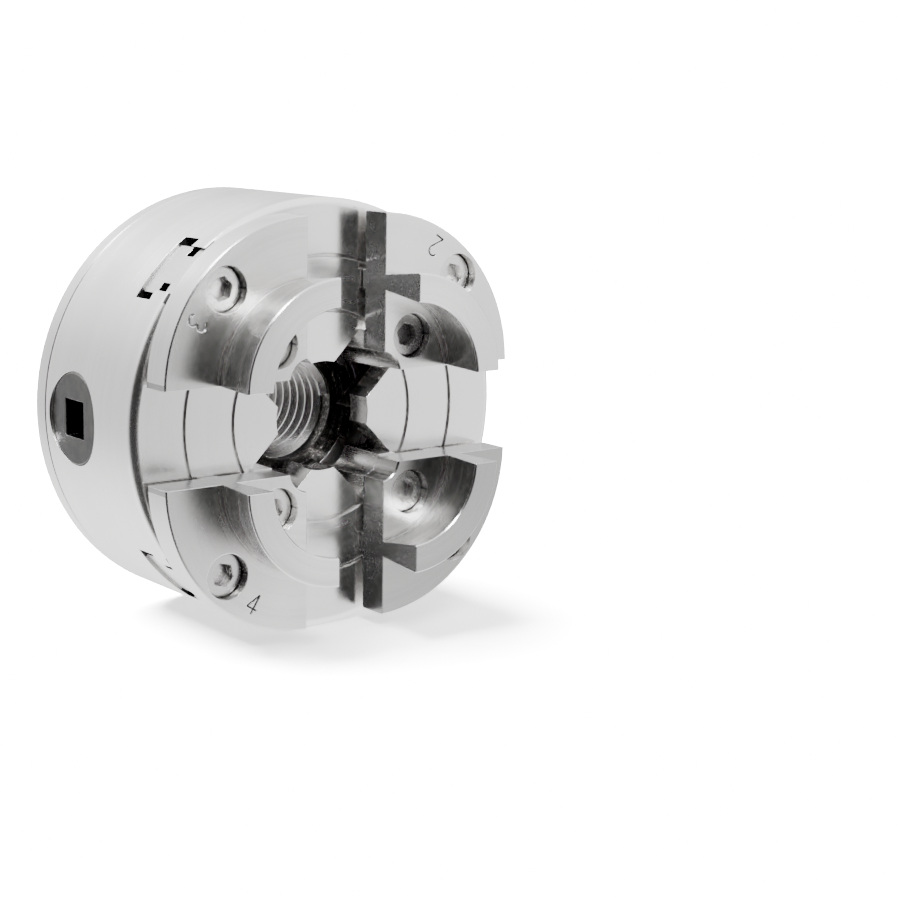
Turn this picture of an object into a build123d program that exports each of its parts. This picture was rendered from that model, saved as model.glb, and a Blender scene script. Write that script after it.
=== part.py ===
"""Four-jaw self-centring scroll chuck for a woodturning lathe, fitted with dovetail jaws.

The spindle axis lies along Y with the jaws facing -Y, and +Z is up. The origin is on the
spindle axis at the rear register face. All sizes are in millimetres. "Forward" is the
distance along -Y from that face, and angles are counted from +X towards +Z.
"""

import os
from math import acos, cos, pi, radians, sin, tan

from build123d import *

os.makedirs("parts", exist_ok=True)

# ---------------------------------------------------------------- body and cover
BODY_RADIUS = 50.0
FACE_FORWARD = 45.0          # front face of the body
FACE_EDGE_RADIUS = 2.0       # rounding between the face and the cylinder
FACE_GROOVE_RADII = (24.4, 36.9)
FACE_GROOVE_WIDTH = 0.9
FACE_GROOVE_DEPTH = 0.5
SEAM_CHAMFER = 0.3           # both edges of the joint between body and cover
HUB_RADIUS = 17.5
BORE_RADIUS = 12.7           # major radius of the 1 in x 8 TPI spindle thread
RELIEF_DEPTH = 2.2           # recess ahead of the thread
RELIEF_LENGTH = 2.7
CHAMBER_RADIUS = 43.0        # room for the scroll
LIP_THICKNESS = 6.7          # body face above the jaw slide's flange

COVER_BACK = 0.5             # the hub stands proud of the cover
COVER_THICKNESS = 5.0
COVER_SPIGOT_DEPTH = 1.6
COVER_SPIGOT_WALL = 4.0
COVER_SCREW_COUNT = 6
COVER_SCREW_START = 30.0     # degrees
COVER_SCREW_RADIUS = 1.5     # M3
COVER_SCREW_HEAD_RADIUS = 2.75
COVER_SCREW_LENGTH = 10.0
COVER_SCREW_SOCKET = 2.0     # across flats
COVER_SCREW_SOCKET_DEPTH = 1.2
TAPPED_EXTRA = 1.5           # tapped hole beyond the screw's tip

# ---------------------------------------------------------------- jaws
JAW_COUNT = 4
JAW_FIRST_ANGLE = -45.0
JAW_OPENING = 14.14          # how far the jaws stand out from closed
JAW_SPARE_TRAVEL = 4.4       # how much further out they can go
JAW_SET_RADIUS = 36.9        # the closed set
JAW_SET_HOLE_RADIUS = 5.0
JAW_KERF_HALF = 0.72         # half the saw cut between two jaws
JAW_STAND_OFF = 1.5          # gap between the body's face and the jaws
JAW_PLATE = 7.8
JAW_RING_HEIGHT = 12.8
JAW_RING_ROOT = (19.3, 22.9)
JAW_RING_TIP = (17.7, 24.25)
JAW_RIB = (18.9, 23.3)       # locating rib under the jaw
JAW_RIB_DEPTH = 1.0
JAW_EDGE_BREAK = 0.3
INNER_SCREW_PLACE = 11.9     # from the centre of the closed set
OUTER_SCREW_PLACE = 30.5

SCREW_RADIUS = 3.0           # M6 low-head socket screw
SCREW_LENGTH = 10.6
SCREW_HEAD_RADIUS = 5.0
SCREW_HEAD_HEIGHT = 4.0
SCREW_HEAD_CHAMFER = 0.4
SCREW_SOCKET = 5.0           # across flats
SCREW_SOCKET_DEPTH = 2.4
SCREW_RECESS = 2.0           # head below the jaw's flat

DIGIT_HEIGHT = 4.7
DIGIT_STROKE = 0.42
DIGIT_DEPTH = 0.25
DIGIT_RADIUS = 46.0          # from the spindle axis
DIGIT_TURN = 12.3            # degrees from the jaw's centreline

SLOT_NECK_HALF = 6.5
SLOT_FLANGE_HALF = 9.0
FLANGE_THICKNESS = 6.0
SLIDE_RELIEF_LENGTH = 3.0    # notches at the slide's outer end
SLIDE_RELIEF_FLANGE_HALF = 6.8
SLIDE_RELIEF_NECK_HALF = 3.9
SLIDE_RELIEF_NECK_DEPTH = 3.6   # behind the body's face
SLIDE_INSET = 0.7            # outer end, nearly flush with the body
SLIDE_GAP_HALF = 0.35        # half the gap between two closed slides

# ---------------------------------------------------------------- scroll and pinions
SCROLL_PITCH = 5.0
SCROLL_RIDGE = 2.1
SCROLL_RIDGE_HEIGHT = 2.4
SCROLL_PLATE = 3.1
SCROLL_INNER_RIDGE = 19.0
SCROLL_SLEEVE_WALL = 4.45
SPIRAL_STEP = 20             # degrees between the points of a spiral
RACK_TEETH = 3
RACK_FLANK_CLEAR = 0.45      # beside a tooth in its groove, for the scroll's changing curve
RACK_HALF_WIDTH = 4.0
RACK_END = 7.55              # from the outermost tooth to the slide's end
RACK_CURVE = 27.0            # middle of the radii that the teeth work at

PINION_INSET = 0.8           # outer end, below the body's surface
PINION_HEAD_RADIUS = 10.65
PINION_NECK_RADIUS = 8.0
PINION_STUB_RADIUS = 3.0
PINION_STUB_DEPTH = 2.55     # how far the inner end reaches into the hub
PINION_SOCKET = 8.6          # square for the chuck key
PINION_SOCKET_DEPTH = 8.8
PINION_EDGE_BREAK = 0.4
PINION_GROOVE_DEPTH = 1.35
PIN_RADIUS = 1.5             # retaining pin that runs in the groove

GEAR_TEETH = 50              # bevel teeth on the back of the scroll
PINION_TEETH = 8
GEAR_RIM = 3.1               # from the gear's outer end to the chamber wall
GEAR_FACE_WIDTH = 9.4
GEAR_FLOOR = 0.42            # between the deepest root and the scroll's plate
GEAR_ADDENDUM = 0.45         # this and the next four in modules
GEAR_DEDENDUM = 1.0
PINION_ADDENDUM = 0.8
PINION_DEDENDUM = 0.65
BACKLASH = 0.2
PRESSURE_ANGLE = radians(20)
FLANK_POINTS = 5

CIRCLIP_THICKNESS = 1.2
CIRCLIP_SEAT_DEPTH = 1.2     # of its groove in the hub
CIRCLIP_WIDTH = 4.1
CIRCLIP_ABOVE_STUB = 1.5     # clear of the pinions' inner ends
CIRCLIP_GAP = 44.0           # degrees left open
CIRCLIP_EYE_RADIUS = 0.9
CIRCLIP_EYE_TURN = 6.0       # degrees from each end

# ---------------------------------------------------------------- clearances
RUNNING = 0.05               # radial, of a running fit
SLIDING = 0.05               # at each side of a sliding fit
THREADED = 0.02              # radial, between a screw and its tapped hole
SEATED = 0.1                 # radial, where one piece locates in another
END_PLAY = 0.1
PASSING = 0.2                # where two pieces only pass each other
SCREW_HOLE = 0.2             # radial, of a clearance hole
COUNTERBORE = 0.2            # radial, around a screw head
CHANNEL_SIDE = 0.4           # beside the rack teeth
PAST = 1.0                   # how far a cut runs past the surface that it opens on

# ---------------------------------------------------------------- places worked out
SEAM = COVER_BACK + COVER_THICKNESS
LIP_BACK = FACE_FORWARD - LIP_THICKNESS
CHAMBER_TOP = LIP_BACK - FLANGE_THICKNESS
THREAD_FRONT = CHAMBER_TOP - RELIEF_LENGTH
RELIEF_RADIUS = BORE_RADIUS + RELIEF_DEPTH
WALL_MIDDLE = (CHAMBER_RADIUS + BODY_RADIUS) / 2
RIDGE_TOP = CHAMBER_TOP - PASSING
SCROLL_FACE = RIDGE_TOP - SCROLL_RIDGE_HEIGHT
SCROLL_BACK = SCROLL_FACE - SCROLL_PLATE
SCROLL_RADIUS = CHAMBER_RADIUS - PASSING
RACK_TIP = SCROLL_FACE + PASSING
CHANNEL_BACK = RACK_TIP - PASSING
SLIDE_BACK = CHAMBER_TOP + END_PLAY
SLIDE_TOP = FACE_FORWARD + JAW_STAND_OFF
SLIDE_END_RADIUS = BODY_RADIUS - SLIDE_INSET
JAW_FLAT = SLIDE_TOP + JAW_PLATE
JAW_TIP = JAW_FLAT + JAW_RING_HEIGHT
SCREW_SEAT = JAW_FLAT - SCREW_RECESS - SCREW_HEAD_HEIGHT
RACK_TOOTH = SCROLL_PITCH - SCROLL_RIDGE - 2 * RACK_FLANK_CLEAR
OUTERMOST_TOOTH = SLIDE_END_RADIUS - RACK_END - RACK_TOOTH / 2
CHANNEL_END = OUTERMOST_TOOTH + RACK_TOOTH / 2 + JAW_SPARE_TRAVEL + PASSING
SCROLL_GROOVE_RADIUS = OUTERMOST_TOOTH - SCROLL_PITCH * (RACK_TEETH - 1 / JAW_COUNT)
GEAR_OUTER = CHAMBER_RADIUS - GEAR_RIM
GEAR_INNER = GEAR_OUTER - GEAR_FACE_WIDTH
PINION_FORWARD = SCROLL_BACK - GEAR_FLOOR - GEAR_OUTER * (PINION_TEETH + 2 * GEAR_DEDENDUM) / GEAR_TEETH
PINION_END = BODY_RADIUS - PINION_INSET
PINION_HEAD_INNER = CHAMBER_RADIUS + PASSING
PINION_STUB_END = HUB_RADIUS - PINION_STUB_DEPTH
PINION_GROOVE_RADIUS = PINION_HEAD_RADIUS - PINION_GROOVE_DEPTH
PIN_TIP = PINION_FORWARD - PINION_GROOVE_RADIUS - END_PLAY
CIRCLIP_BACK = PINION_FORWARD + PINION_STUB_RADIUS + CIRCLIP_ABOVE_STUB
CIRCLIP_FRONT = CIRCLIP_BACK + CIRCLIP_THICKNESS
CIRCLIP_INNER = HUB_RADIUS - CIRCLIP_SEAT_DEPTH
CIRCLIP_OUTER = CIRCLIP_INNER + CIRCLIP_WIDTH
SLEEVE_BACK = CIRCLIP_FRONT + END_PLAY
SLEEVE_RADIUS = HUB_RADIUS + RUNNING + SCROLL_SLEEVE_WALL
JAW_ANGLES = [JAW_FIRST_ANGLE + 360 / JAW_COUNT * k for k in range(JAW_COUNT)]
JAW_HALF_ANGLE = radians(180 / JAW_COUNT)
PINION_ANGLES = {"right": 0, "left": 180}
SPINDLE = Axis((0, 0, 0), (0, -1, 0))


# ---------------------------------------------------------------- planes and helpers
def across(forward, angle=0, out=0):
    """Plane square to the spindle: x points outwards at the angle, z forward."""
    a = radians(angle)
    return Plane((out * cos(a), -forward, out * sin(a)), (cos(a), 0, sin(a)), (0, -1, 0))


def facing_in(forward, angle, out):
    """Plane square to the spindle: y points at the spindle axis, z forward."""
    a = radians(angle)
    return Plane((out * cos(a), -forward, out * sin(a)), (-sin(a), 0, cos(a)), (0, -1, 0))


def lengthwise(angle=0, out=0):
    """Plane that holds the spindle's direction: x points outwards, y forward."""
    a = radians(angle)
    return Plane((out * cos(a), 0, out * sin(a)), (cos(a), 0, sin(a)), (sin(a), 0, -cos(a)))


def square_to_radius(out, angle, forward):
    """Plane square to a radius: y points forward, z outwards."""
    a = radians(angle)
    return Plane((out * cos(a), -forward, out * sin(a)), (-sin(a), 0, cos(a)), (cos(a), 0, sin(a)))


def parallel_to_spindle(angle, out):
    """Axis along the spindle's direction through a point off the spindle."""
    a = radians(angle)
    return Axis((out * cos(a), 0, out * sin(a)), (0, -1, 0))


def save(piece, name):
    piece.part.label = name
    export_step(piece.part, f"parts/{name}.step")


def tube(inner, outer, back, front, mode=Mode.ADD):
    """A plain ring around the spindle axis."""
    with BuildSketch(across(back)) as ring:
        Circle(outer)
        Circle(inner, mode=Mode.SUBTRACT)
    extrude(ring.sketch, amount=front - back, mode=mode)


def cut_slot(half_width, end, back, front, angle):
    """A rectangular slot that runs outwards along a jaw's angle, from the spindle axis to its end."""
    with BuildSketch(across(back, angle)) as block:
        with Locations((end / 2, 0)):
            Rectangle(end, 2 * half_width)
    extrude(block.sketch, amount=front - back, mode=Mode.SUBTRACT)


def jaw_screw(seat):
    """A low-head socket screw whose head stands on the seat and whose shank runs back from it."""
    with BuildPart() as screw:
        with BuildSketch(seat) as head:
            Circle(SCREW_HEAD_RADIUS)
        extrude(head.sketch, amount=SCREW_HEAD_HEIGHT)
        chamfer(screw.faces().sort_by(Axis.Y)[0].edges(), SCREW_HEAD_CHAMFER)
        with BuildSketch(seat) as shank:
            Circle(SCREW_RADIUS)
        extrude(shank.sketch, amount=-SCREW_LENGTH)
        with BuildSketch(seat.offset(SCREW_HEAD_HEIGHT)) as socket:
            RegularPolygon(SCREW_SOCKET / 2, 6, major_radius=False)
        extrude(socket.sketch, amount=-SCREW_SOCKET_DEPTH, mode=Mode.SUBTRACT)
    return screw


# ---------------------------------------------------------------- body
with BuildPart() as body:
    with BuildSketch(lengthwise()):
        with BuildLine():
            Polyline(
                (BORE_RADIUS, 0),
                (HUB_RADIUS - SEAM_CHAMFER, 0),
                (HUB_RADIUS, SEAM_CHAMFER),
                (HUB_RADIUS, CHAMBER_TOP),
                (CHAMBER_RADIUS, CHAMBER_TOP),
                (CHAMBER_RADIUS, SEAM),
                (BODY_RADIUS - SEAM_CHAMFER, SEAM),
                (BODY_RADIUS, SEAM + SEAM_CHAMFER),
                (BODY_RADIUS, FACE_FORWARD - FACE_EDGE_RADIUS),
            )
            RadiusArc(
                (BODY_RADIUS, FACE_FORWARD - FACE_EDGE_RADIUS),
                (BODY_RADIUS - FACE_EDGE_RADIUS, FACE_FORWARD),
                -FACE_EDGE_RADIUS,
            )
            Polyline(
                (BODY_RADIUS - FACE_EDGE_RADIUS, FACE_FORWARD),
                (BORE_RADIUS, FACE_FORWARD),
                (BORE_RADIUS, CHAMBER_TOP),
                (RELIEF_RADIUS, CHAMBER_TOP),
                (RELIEF_RADIUS, THREAD_FRONT),
                (BORE_RADIUS, THREAD_FRONT),
                (BORE_RADIUS, 0),
            )
        make_face()
    revolve(axis=SPINDLE)

    for groove_radius in FACE_GROOVE_RADII:
        tube(
            groove_radius - FACE_GROOVE_WIDTH / 2,
            groove_radius + FACE_GROOVE_WIDTH / 2,
            FACE_FORWARD - FACE_GROOVE_DEPTH,
            FACE_FORWARD,
            mode=Mode.SUBTRACT,
        )

    for jaw_angle in JAW_ANGLES:
        cut_slot(SLOT_NECK_HALF, BODY_RADIUS + PAST, LIP_BACK, FACE_FORWARD, jaw_angle)
        cut_slot(SLOT_FLANGE_HALF, BODY_RADIUS + PAST, CHAMBER_TOP, LIP_BACK, jaw_angle)
        cut_slot(RACK_HALF_WIDTH + CHANNEL_SIDE, CHANNEL_END, CHANNEL_BACK, CHAMBER_TOP, jaw_angle)

    tube(CIRCLIP_INNER, HUB_RADIUS, CIRCLIP_BACK - THREADED, CIRCLIP_FRONT + THREADED, Mode.SUBTRACT)

    for pinion_angle in PINION_ANGLES.values():
        with BuildSketch(square_to_radius(HUB_RADIUS + PAST, pinion_angle, PINION_FORWARD)):
            Circle(PINION_STUB_RADIUS + RUNNING)
        extrude(amount=PINION_STUB_END - END_PLAY - HUB_RADIUS - PAST, mode=Mode.SUBTRACT)
        with BuildSketch(square_to_radius(CHAMBER_RADIUS - PAST, pinion_angle, PINION_FORWARD)):
            Circle(PINION_HEAD_RADIUS + RUNNING)
        extrude(amount=BODY_RADIUS - CHAMBER_RADIUS + 2 * PAST, mode=Mode.SUBTRACT)
        with BuildSketch(across(SEAM, pinion_angle, WALL_MIDDLE)):
            Circle(PIN_RADIUS + THREADED)
        extrude(amount=PINION_FORWARD - SEAM, mode=Mode.SUBTRACT)

    with BuildSketch(across(SEAM, COVER_SCREW_START)):
        with PolarLocations(WALL_MIDDLE, COVER_SCREW_COUNT):
            Circle(COVER_SCREW_RADIUS + THREADED)
    extrude(amount=COVER_BACK + COVER_SCREW_LENGTH + TAPPED_EXTRA - SEAM, mode=Mode.SUBTRACT)
save(body, "body")


# ---------------------------------------------------------------- rear cover and its screws
with BuildPart() as rear_cover:
    with BuildSketch(lengthwise()):
        with BuildLine():
            Polyline(
                (HUB_RADIUS + SEATED, COVER_BACK),
                (BODY_RADIUS - 2 * SEAM_CHAMFER, COVER_BACK),
                (BODY_RADIUS, COVER_BACK + 2 * SEAM_CHAMFER),
                (BODY_RADIUS, SEAM - SEAM_CHAMFER),
                (BODY_RADIUS - SEAM_CHAMFER, SEAM),
                (CHAMBER_RADIUS - SEATED, SEAM),
                (CHAMBER_RADIUS - SEATED, SEAM + COVER_SPIGOT_DEPTH),
                (CHAMBER_RADIUS - SEATED - COVER_SPIGOT_WALL, SEAM + COVER_SPIGOT_DEPTH),
                (CHAMBER_RADIUS - SEATED - COVER_SPIGOT_WALL, SEAM),
                (HUB_RADIUS + SEATED, SEAM),
                close=True,
            )
        make_face()
    revolve(axis=SPINDLE)
    cone_depth = COVER_SCREW_HEAD_RADIUS - COVER_SCREW_RADIUS + SCREW_HOLE
    for k in range(COVER_SCREW_COUNT):
        screw_angle = COVER_SCREW_START + 360 / COVER_SCREW_COUNT * k
        with BuildSketch(lengthwise(screw_angle, WALL_MIDDLE)):
            with BuildLine():
                Polyline(
                    (0, COVER_BACK),
                    (COVER_SCREW_HEAD_RADIUS + SCREW_HOLE, COVER_BACK),
                    (COVER_SCREW_RADIUS + SCREW_HOLE, COVER_BACK + cone_depth - SCREW_HOLE),
                    (COVER_SCREW_RADIUS + SCREW_HOLE, SEAM),
                    (0, SEAM),
                    close=True,
                )
            make_face()
        revolve(axis=parallel_to_spindle(screw_angle, WALL_MIDDLE), mode=Mode.SUBTRACT)
save(rear_cover, "rear_cover")

with BuildPart() as cover_screws:
    for k in range(COVER_SCREW_COUNT):
        screw_angle = COVER_SCREW_START + 360 / COVER_SCREW_COUNT * k
        with BuildSketch(lengthwise(screw_angle, WALL_MIDDLE)):
            with BuildLine():
                Polyline(
                    (0, COVER_BACK + SCREW_HOLE),
                    (COVER_SCREW_HEAD_RADIUS, COVER_BACK + SCREW_HOLE),
                    (COVER_SCREW_RADIUS, COVER_BACK + cone_depth),
                    (COVER_SCREW_RADIUS, COVER_BACK + COVER_SCREW_LENGTH),
                    (0, COVER_BACK + COVER_SCREW_LENGTH),
                    close=True,
                )
            make_face()
        revolve(axis=parallel_to_spindle(screw_angle, WALL_MIDDLE))
    with BuildSketch(across(COVER_BACK + SCREW_HOLE, COVER_SCREW_START)):
        with PolarLocations(WALL_MIDDLE, COVER_SCREW_COUNT):
            RegularPolygon(COVER_SCREW_SOCKET / 2, 6, major_radius=False)
    extrude(amount=COVER_SCREW_SOCKET_DEPTH, mode=Mode.SUBTRACT)
save(cover_screws, "cover_screws")


# ---------------------------------------------------------------- scroll
def gear_module(radius):
    """Both bevel gears taper to a point on the spindle axis, so the module goes with radius."""
    return 2 * radius / GEAR_TEETH


def gear_height(radius, modules):
    """Forward place on the scroll's gear, this many modules deeper than its pitch cone."""
    pitch_height = radius * PINION_TEETH / GEAR_TEETH
    return PINION_FORWARD + pitch_height + modules * gear_module(radius)


def gear_gap(radius, angle):
    """Section of one gap between two straight-sided gear teeth."""
    m = gear_module(radius)
    half_gap = m * (pi + BACKLASH) / 4
    slope = tan(PRESSURE_ANGLE)
    mouth = -2 * GEAR_ADDENDUM
    with BuildSketch(square_to_radius(radius, angle, 0)) as section:
        with BuildLine():
            Polyline(
                (-half_gap + mouth * m * slope, gear_height(radius, mouth)),
                (half_gap - mouth * m * slope, gear_height(radius, mouth)),
                (half_gap - GEAR_DEDENDUM * m * slope, gear_height(radius, GEAR_DEDENDUM)),
                (-half_gap + GEAR_DEDENDUM * m * slope, gear_height(radius, GEAR_DEDENDUM)),
                close=True,
            )
        make_face()
    return section.sketch


def ridge_edge(shift):
    """One edge of the scroll's ridge, shifted outwards from the middle of the groove."""
    first = (SCROLL_INNER_RIDGE - SCROLL_GROOVE_RADIUS - (SCROLL_PITCH - SCROLL_RIDGE) / 2) / SCROLL_PITCH
    last = (SCROLL_RADIUS - SCROLL_GROOVE_RADIUS - (SCROLL_PITCH + SCROLL_RIDGE) / 2) / SCROLL_PITCH
    steps = round((last - first) * 360 / SPIRAL_STEP)
    points = []
    for k in range(steps + 1):
        turns = first + (last - first) * k / steps
        radius = SCROLL_GROOVE_RADIUS + SCROLL_PITCH * turns + shift
        theta = radians(JAW_FIRST_ANGLE) + 2 * pi * turns
        points.append((radius * cos(theta), radius * sin(theta)))
    return points


with BuildPart() as scroll:
    with BuildSketch(lengthwise()):
        with BuildLine():
            Polyline(
                (HUB_RADIUS + RUNNING, SLEEVE_BACK),
                (SLEEVE_RADIUS, SLEEVE_BACK),
                (SLEEVE_RADIUS, SCROLL_BACK),
                (GEAR_INNER, SCROLL_BACK),
                (GEAR_INNER, gear_height(GEAR_INNER, -GEAR_ADDENDUM)),
                (GEAR_OUTER, gear_height(GEAR_OUTER, -GEAR_ADDENDUM)),
                (GEAR_OUTER, SCROLL_BACK),
                (SCROLL_RADIUS, SCROLL_BACK),
                (SCROLL_RADIUS, SCROLL_FACE),
                (HUB_RADIUS + RUNNING, SCROLL_FACE),
                close=True,
            )
        make_face()
    revolve(axis=SPINDLE)
    for k in range(GEAR_TEETH):
        gap_angle = 360 / GEAR_TEETH * k
        loft([gear_gap(GEAR_INNER - PAST, gap_angle), gear_gap(GEAR_OUTER + PAST, gap_angle)],
             ruled=True, mode=Mode.SUBTRACT)
    with BuildSketch(across(SCROLL_FACE)):
        with BuildLine():
            inner_edge = Spline(*ridge_edge((SCROLL_PITCH - SCROLL_RIDGE) / 2))
            outer_edge = Spline(*ridge_edge((SCROLL_PITCH + SCROLL_RIDGE) / 2))
            Line(inner_edge @ 0, outer_edge @ 0)
            Line(inner_edge @ 1, outer_edge @ 1)
        make_face()
    extrude(amount=SCROLL_RIDGE_HEIGHT)
save(scroll, "scroll")

with BuildPart() as scroll_circlip:
    eye_place = (CIRCLIP_INNER + CIRCLIP_OUTER) / 2
    with BuildSketch(across(CIRCLIP_BACK, 90)):
        Circle(CIRCLIP_OUTER)
        Circle(CIRCLIP_INNER + THREADED, mode=Mode.SUBTRACT)
        with BuildLine():
            Polyline(
                (0, 0),
                (2 * CIRCLIP_OUTER, -2 * CIRCLIP_OUTER * tan(radians(CIRCLIP_GAP / 2))),
                (2 * CIRCLIP_OUTER, 2 * CIRCLIP_OUTER * tan(radians(CIRCLIP_GAP / 2))),
                close=True,
            )
        make_face(mode=Mode.SUBTRACT)
        for side in (-1, 1):
            eye_angle = radians(side * (CIRCLIP_GAP / 2 + CIRCLIP_EYE_TURN))
            with Locations((eye_place * cos(eye_angle), eye_place * sin(eye_angle))):
                Circle(CIRCLIP_EYE_RADIUS, mode=Mode.SUBTRACT)
    extrude(amount=CIRCLIP_THICKNESS)
save(scroll_circlip, "scroll_circlip")


# ---------------------------------------------------------------- pinions and their pins
def involute(angle):
    return tan(angle) - angle


def tooth_point(pitch_radius, radius, backlash, side, turn):
    """Point on a pinion tooth's involute flank, on the side and turn given."""
    base_radius = pitch_radius * cos(PRESSURE_ANGLE)
    pressure = acos(min(1, base_radius / radius))
    half = (pi - backlash) / (2 * PINION_TEETH) + involute(PRESSURE_ANGLE) - involute(pressure)
    angle = turn + side * half
    return (radius * sin(angle), radius * cos(angle))


def pinion_tooth(radius, angle, turn):
    """Section of one pinion tooth at a radius from the spindle."""
    m = gear_module(radius)
    pitch_radius = m * PINION_TEETH / 2
    root = pitch_radius - PINION_DEDENDUM * m
    tip = pitch_radius + PINION_ADDENDUM * m
    base = pitch_radius * cos(PRESSURE_ANGLE)
    steps = [base + (tip - base) * k / (FLANK_POINTS - 1) for k in range(FLANK_POINTS)]
    left = [tooth_point(pitch_radius, r, BACKLASH, -1, turn) for r in steps]
    right = [tooth_point(pitch_radius, r, BACKLASH, 1, turn) for r in steps]
    shrink = (root - m / 4) / base
    with BuildSketch(square_to_radius(radius, angle, PINION_FORWARD)) as section:
        with BuildLine():
            Polyline((left[0][0] * shrink, left[0][1] * shrink), *left)
            Polyline((right[0][0] * shrink, right[0][1] * shrink), *right)
            Line(left[-1], right[-1])
            Line((left[0][0] * shrink, left[0][1] * shrink), (right[0][0] * shrink, right[0][1] * shrink))
        make_face()
    return section.sketch


def shaft_step(radius, angle, inner, outer):
    """One cylinder of a pinion."""
    with BuildSketch(square_to_radius(inner, angle, PINION_FORWARD)) as disc:
        Circle(radius)
    return extrude(disc.sketch, amount=outer - inner)


for side_name, pinion_angle in PINION_ANGLES.items():
    with BuildPart() as pinion:
        head = shaft_step(PINION_HEAD_RADIUS, pinion_angle, PINION_HEAD_INNER, PINION_END)
        outward = Axis((0, 0, 0), (cos(radians(pinion_angle)), 0, 0))
        chamfer(head.faces().sort_by(outward)[-1].edges(), PINION_EDGE_BREAK)
        inner_root = GEAR_INNER * (PINION_TEETH - 2 * PINION_DEDENDUM) / GEAR_TEETH
        outer_root = GEAR_OUTER * (PINION_TEETH - 2 * PINION_DEDENDUM) / GEAR_TEETH
        shaft_step(PINION_NECK_RADIUS, pinion_angle, GEAR_OUTER + PASSING, PINION_HEAD_INNER)
        with BuildSketch(square_to_radius(GEAR_INNER, pinion_angle, PINION_FORWARD)):
            Circle(inner_root)
        with BuildSketch(square_to_radius(GEAR_OUTER + PASSING, pinion_angle, PINION_FORWARD)):
            Circle(outer_root)
        loft()
        shaft_step(PINION_STUB_RADIUS, pinion_angle, PINION_STUB_END, GEAR_INNER)
        for k in range(PINION_TEETH):
            turn = 2 * pi / PINION_TEETH * k
            loft([pinion_tooth(GEAR_INNER, pinion_angle, turn),
                  pinion_tooth(GEAR_OUTER + PASSING, pinion_angle, turn)], ruled=True)
        groove_inner = WALL_MIDDLE - PIN_RADIUS - END_PLAY
        groove_outer = WALL_MIDDLE + PIN_RADIUS + END_PLAY
        with BuildSketch(square_to_radius(groove_inner, pinion_angle, PINION_FORWARD)):
            Circle(PINION_HEAD_RADIUS)
            Circle(PINION_GROOVE_RADIUS, mode=Mode.SUBTRACT)
        extrude(amount=groove_outer - groove_inner, mode=Mode.SUBTRACT)
        with BuildSketch(square_to_radius(PINION_END, pinion_angle, PINION_FORWARD)):
            Rectangle(PINION_SOCKET, PINION_SOCKET)
        extrude(amount=-PINION_SOCKET_DEPTH, mode=Mode.SUBTRACT)
    save(pinion, f"pinion_{side_name}")

    with BuildPart() as retainer:
        with BuildSketch(across(SEAM, pinion_angle, WALL_MIDDLE)):
            Circle(PIN_RADIUS)
        extrude(amount=PIN_TIP - SEAM)
    save(retainer, f"pinion_retainer_{side_name}")


# ---------------------------------------------------------------- jaw slides
def quadrant(gap_half):
    """Outline of one jaw's share of the closed set, drawn from the set's centre."""
    apex = gap_half / sin(JAW_HALF_ANGLE)
    reach = 2 * BODY_RADIUS
    with BuildLine() as outline:
        Polyline(
            (apex, 0),
            (apex + reach, reach * tan(JAW_HALF_ANGLE)),
            (apex + reach, -reach * tan(JAW_HALF_ANGLE)),
            close=True,
        )
    make_face(outline.edges(), mode=Mode.INTERSECT)


def slide_layer(half_width, back, front, angle):
    """One layer of a jaw slide, cut to its nose and to its round outer end."""
    with BuildSketch(across(back, angle, JAW_OPENING)) as layer:
        with Locations((BODY_RADIUS / 2, 0)):
            Rectangle(BODY_RADIUS, 2 * half_width)
        quadrant(SLIDE_GAP_HALF)
        Circle(JAW_SET_HOLE_RADIUS, mode=Mode.SUBTRACT)
        with Locations((-JAW_OPENING, 0)):
            Circle(SLIDE_END_RADIUS, mode=Mode.INTERSECT)
    extrude(layer.sketch, amount=front - back)


def end_relief(half_width, back, front, angle):
    """Narrows a slide's outer end to a half width between two levels."""
    with BuildSketch(across(back, angle, SLIDE_END_RADIUS - SLIDE_RELIEF_LENGTH)) as relief:
        for side in (-1, 1):
            with Locations(((SLIDE_RELIEF_LENGTH + PAST) / 2, side * (half_width + SLOT_FLANGE_HALF))):
                Rectangle(SLIDE_RELIEF_LENGTH + PAST, 2 * SLOT_FLANGE_HALF)
    extrude(relief.sketch, amount=front - back, mode=Mode.SUBTRACT)


def rack_tooth(middle, angle):
    """One curved tooth under a slide, its middle at a radius from the spindle."""
    with BuildSketch(across(RACK_TIP, angle)) as tooth:
        with Locations((middle, 0)):
            Rectangle(2 * SCROLL_PITCH, 2 * RACK_HALF_WIDTH)
        with Locations((middle - RACK_CURVE, 0)):
            Circle(RACK_CURVE + RACK_TOOTH / 2, mode=Mode.INTERSECT)
            Circle(RACK_CURVE - RACK_TOOTH / 2, mode=Mode.SUBTRACT)
    extrude(tooth.sketch, amount=SLIDE_BACK - RACK_TIP)


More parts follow.
